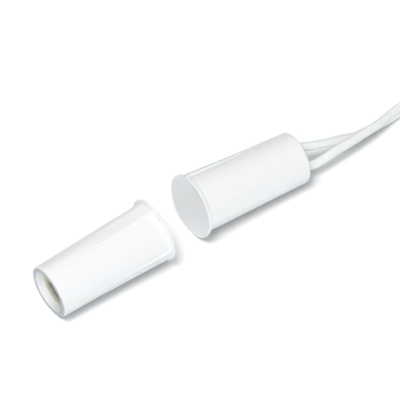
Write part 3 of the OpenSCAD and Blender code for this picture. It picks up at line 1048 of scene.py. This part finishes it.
class CONTACT_OT_tie(bpy.types.Operator):
    """Make the dark tie round the coil"""

    bl_idname = "contact.tie"
    bl_label = "Coil tie"

    def execute(self, context):
        leads = context.scene.contact_leads
        tie = tie_plastic(context.scene.contact_finishes)
        thick, width = leads.tie_thickness, leads.tie_width
        radius = leads.lead_d / 2
        inner_edge = turn_radius(leads, math.tau * leads.coil_turns) - radius
        inside = math.sqrt(inner_edge**2 - (width / 2) ** 2) - thick / 2
        outside = leads.coil_radius + radius + thick / 2
        low = thick / 2
        high = leads.lead_d + leads.layer_height + thick * 1.5
        turn = Matrix.Translation(COIL_CENTRE) @ Matrix.Rotation(TIE_ANGLE, 4, "Z")
        for piece in (
            self.band(inside, outside, low, high, thick, width, tie),
            self.ends(outside, (low + high) / 2, leads, tie),
        ):
            piece.data.transform(turn)
            stand_in(piece, "tie_plastic", "switch_half", "coil_tie")
        return {"FINISHED"}

    def band(self, inside, outside, low, high, thick, width, tie):
        """A flat band with a stiffening wire along its middle."""
        corner, step = 0.55 * MM, 0.5 * MM
        centres = [(outside - corner, low + corner), (outside - corner, high - corner)]
        centres += [(inside + corner, high - corner), (inside + corner, low + corner)]
        loop = []
        for i, centre in enumerate(centres):
            loop += arc(centre, corner, -90 + 90 * i, 90 * i, steps=6)
        path = []
        for here, there in zip(loop, loop[1:] + loop[:1]):
            steps = max(1, round((there - here).length / step))
            path += [here.lerp(there, i / steps) for i in range(steps)]
        # A quarter of the section: the edge, the flat and the wire's root and crest
        half, flat, wire = width / 2, thick * 0.28, thick / 2
        side = [(-half, 0), (-half * 0.96, -flat), (-half * 0.3, -flat), (-half * 0.14, -wire)]
        under = side + [(-x, y) for x, y in reversed(side[1:])]
        section = under + [(half, 0)] + [(-x, -y) for x, y in under[1:]]
        points = [Vector((x, 0, z)) for x, z in path]
        return swept("tie_band", points, section, tie, "Band", closed=True)

    def ends(self, outside, middle, leads, tie):
        """The band's two ends, twisted together."""
        length = leads.tie_twist_length
        steps, turns, sunk = 60, 2.5, 0.1 * MM
        start = outside - sunk
        points = [Vector((start + length * i / steps, 0, middle)) for i in range(steps + 1)]
        half = leads.tie_twist_width / 2
        strap = oval_section(half, half * 0.5, sides=16)
        return swept("tie_ends", points, strap, tie, "Band", twist=math.tau * turns / length)


class CONTACT_OT_cases(bpy.types.Operator):
    """Make the two moulded cases, with their flanges, coves and crush ribs"""

    bl_idname = "contact.cases"
    bl_label = "Cases"

    def execute(self, context):
        case = context.scene.contact_case
        plastic = case_plastic(context.scene.contact_finishes)
        outer, inner = self.profile(case)
        points = [(radius, 0, station) for radius, station in outer + inner]
        cove_end = case.flange_thickness + case.cove_radius
        slope = (case.back_d - case.front_d) / 2 / (case.length - cove_end)
        front_edge = case.front_d / 2 + case.rib_height
        tail_edge = case.front_d / 2 + slope * (case.rib_length - cove_end) + case.rib_tail_height
        values = {
            "Columns": SECTOR_COLUMNS * case.rib_count,
            "Outer rows": len(outer),
            "Ribs": case.rib_count,
            "Rib turn": 0.0,
            "Rib start": case.flange_thickness / 2,
            "Cove end": cove_end,
            "Rib length": case.rib_length,
            "Rib fade": 0.35 * MM,
            "Rib front reach": self.flat_reach(front_edge, case.rib_front_width),
            "Rib tail reach": self.flat_reach(tail_edge, case.rib_tail_width),
            "Rib front width": case.rib_front_width,
            "Rib tail width": case.rib_tail_width,
            "Rib flank": case.rib_flank,
            "Length": case.length,
            "Mouth reach": case.bore_mouth_d / 2 + 0.02 * MM,
        }
        shape = case_shape(values)
        for node, half in HALVES.items():
            mesh = bpy.data.meshes.new(node + "_shell")
            mesh.from_pydata(points, [], [])
            shell = put(node + "_shell", mesh)
            grow(shell, shape, plastic, {"Rib turn": getattr(case, half["roll"])})
            shell.data.transform(half_matrix(node))
            stand_in(shell, "case_plastic", half["body"], node)
        return {"FINISHED"}

    def flat_reach(self, edge_radius, width):
        """Distance from the axis to a rib's flat top, whose edges lie at edge_radius."""
        return math.sqrt(edge_radius**2 - width**2 / 4)

    def profile(self, case):
        """Rows from the middle of the flange face to the mouth, and back to the bore's floor."""
        flange_r, front_r, back_r = case.flange_d / 2, case.front_d / 2, case.back_d / 2
        rim, mouth, cove = case.rim_rounding, case.mouth_rounding, case.cove_radius
        thick, length = case.flange_thickness, case.length
        cove_end = thick + cove
        face_step, fine, coarse, chamfer_step = 0.6 * MM, 0.3 * MM, 0.8 * MM, 0.08 * MM
        outer = [Vector((0, 0)), *stretch((0, 0), (flange_r - rim, 0), face_step)]
        outer += arc((flange_r - rim, rim), rim, -90, 0)
        outer += arc((flange_r - rim, thick - rim), rim, 0, 90)
        outer += arc((front_r + cove, cove_end), cove, -90, -180, steps=12)
        outer += stretch((front_r, cove_end), (back_r, length - mouth), fine)
        outer += arc((back_r - mouth, length - mouth), mouth, 0, 90)

        chamfer, corner, floor = case.mouth_chamfer, case.floor_rounding, case.front_wall
        mouth_r, floor_r, close = case.bore_mouth_d / 2, case.bore_floor_d / 2, 0.01 * MM
        edge, bottom = (mouth_r + chamfer, length), (floor_r, floor + corner)
        inner = stretch((back_r - mouth, length), edge, fine, close)
        inner += stretch(edge, (mouth_r, length - chamfer), chamfer_step, close)
        inner += stretch((mouth_r, length - chamfer), bottom, coarse)
        inner += arc((floor_r - corner, bottom[1]), corner, 0, -90)
        inner += stretch((floor_r - corner, floor), (0, floor), coarse)
        inner.append(Vector((0, floor)))
        return outer, inner


class CONTACT_OT_potting(bpy.types.Operator):
    """Make the cast resin in both open ends"""

    bl_idname = "contact.potting"
    bl_label = "Potting"

    def execute(self, context):
        case, leads = context.scene.contact_case, context.scene.contact_leads
        resin = potting_resin(context.scene.contact_finishes)
        lead_stems = [stem_place(leads, side, 0) for side in (1, -1)]
        plugs = {
            "switch_potting": ("switch_case", lead_stems),
            "magnet_potting": ("magnet_case", []),
        }
        for node, (shell, stems) in plugs.items():
            to_frame = half_matrix(shell)
            to_case = to_frame.inverted()
            depth = self.depth(node, to_case)
            lean = Vector() if stems else to_case.to_3x3() @ -UP * case.resin_lean
            plug = self.plug(node + "_cast", case, depth, leads.lead_d / 2, stems, lean, resin)
            plug.data.transform(to_frame)
            stand_in(plug, "potting_resin", HALVES[shell]["body"], node)
        return {"FINISHED"}

    def depth(self, node, to_case):
        """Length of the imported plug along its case's axis."""
        stations = [(to_case @ vertex.co).z for vertex in frame["nodes"][node].data.vertices]
        return max(stations) - min(stations)

    def plug(self, name, case, depth, lead_r, stems, lean, resin):
        """A plug whose face leans, dips in the middle, and creeps up the wall and each lead."""
        shrink = 0.01 * MM
        face = case.length - case.recess
        floor = face - depth
        wall_r, floor_r = (bore_radius(case, station) - shrink for station in (face, floor))
        creep, creep_run, dip = 0.16 * MM, 0.22 * MM, 0.12 * MM
        ripple, ripple_size, hair = 0.03 * MM, 1.1 * MM, 0.001 * MM
        # Painted shade: the resin darkens inward, fully at this distance from the wall
        thick = 1.2 * MM  # distance from the wall at which the resin looks darkest

        def lift(point):
            if point.z < face - hair:
                return point
            flat = Vector((point.x, point.y, 0))
            rise = creep * math.exp(-(wall_r - flat.length) / creep_run)
            rise += lean.x * point.x + lean.y * point.y - dip * (1 - (flat.length / wall_r) ** 2)
            for stem in stems:
                gap = max(0.0, (flat - stem).length - lead_r)
                rise += creep * math.exp(-gap / creep_run)
            rise += ripple * noise.noise(flat / ripple_size)
            return point + UP * rise

        corners = (0, face), (wall_r, face), (floor_r, floor), (0, floor)
        fine, coarse = 0.09 * MM, 0.8 * MM
        rows = []
        for start, end, step in zip(corners, corners[1:], (fine, coarse, coarse)):
            rows += [start, *stretch(start, end, step)]
        rows.append(corners[-1])
        made = turned(name, rows, columns=120, material=resin, lift=lift)
        # How far inward each point is, for the resin's painted shade
        inward = made.data.attributes.new("InwardShade", "FLOAT", "POINT")
        gaps = [wall_r - math.hypot(*vertex.co.xy) for vertex in made.data.vertices]
        inward.data.foreach_set("value", [min(max(gap / thick, 0.0), 1.0) for gap in gaps])
        return made


class CONTACT_OT_inner(bpy.types.Operator):
    """Finish the reed capsule, its joints and the magnet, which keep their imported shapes"""

    bl_idname = "contact.inner"
    bl_label = "Capsule and magnet"

    def execute(self, context):
        finishes = context.scene.contact_finishes
        alloy = drawn_metal("Reed alloy", finishes.reed, 2200, rough=(0.22, 0.36))
        copper = drawn_metal("Inner tinned copper", finishes.copper, 2600, rough=(0.25, 0.42))
        joint = solder_metal(finishes)
        looks = {
            "reed_glass": clear_glass(),
            "capsule_sleeve": sleeve_rubber(finishes),
            "front_reed": alloy,
            "rear_reed": alloy,
            "front_solder": joint,
            "rear_solder": joint,
            "lead_a_core": copper,
            "lead_b_core": copper,
            "magnet": magnet_alloy(finishes),
        }
        for node, look in looks.items():
            piece = frame["nodes"][node]
            if not piece.material_slots:
                piece.data.materials.append(look)
            for slot in piece.material_slots:
                slot.material = look
        return {"FINISHED"}


class CONTACT_PT_panel(bpy.types.Panel):
    """Sizes, colours and steps of the contact"""

    bl_idname = "CONTACT_PT_panel"
    bl_label = "Magnetic contact"
    bl_space_type = "VIEW_3D"
    bl_region_type = "UI"
    bl_category = "Contact"

    def draw(self, context):
        for name in SETTINGS:
            group = getattr(context.scene, name)
            column = self.layout.column()
            for key in group.__annotations__:
                column.prop(group, key)
        for step in STEPS:
            self.layout.operator(step.bl_idname)


SETTINGS = {
    "contact_case": CaseSizes,
    "contact_leads": LeadSizes,
    "contact_finishes": Finishes,
    "contact_stage": StageSettings,
}
STEPS = (
    CONTACT_OT_stage,
    CONTACT_OT_leads,
    CONTACT_OT_tie,
    CONTACT_OT_cases,
    CONTACT_OT_potting,
    CONTACT_OT_inner,
)


def register():
    for item in (*SETTINGS.values(), *STEPS, CONTACT_PT_panel):
        bpy.utils.register_class(item)
    for name, group in SETTINGS.items():
        setattr(bpy.types.Scene, name, PointerProperty(type=group))


def unregister():
    for name in SETTINGS:
        delattr(bpy.types.Scene, name)
    for item in reversed((*SETTINGS.values(), *STEPS, CONTACT_PT_panel)):
        bpy.utils.unregister_class(item)


def main():
    """Makes every piece in order."""
    register()
    for step in STEPS:
        group, name = step.bl_idname.split(".")
        getattr(getattr(bpy.ops, group), name)()


if __name__ == "__main__":
    main()
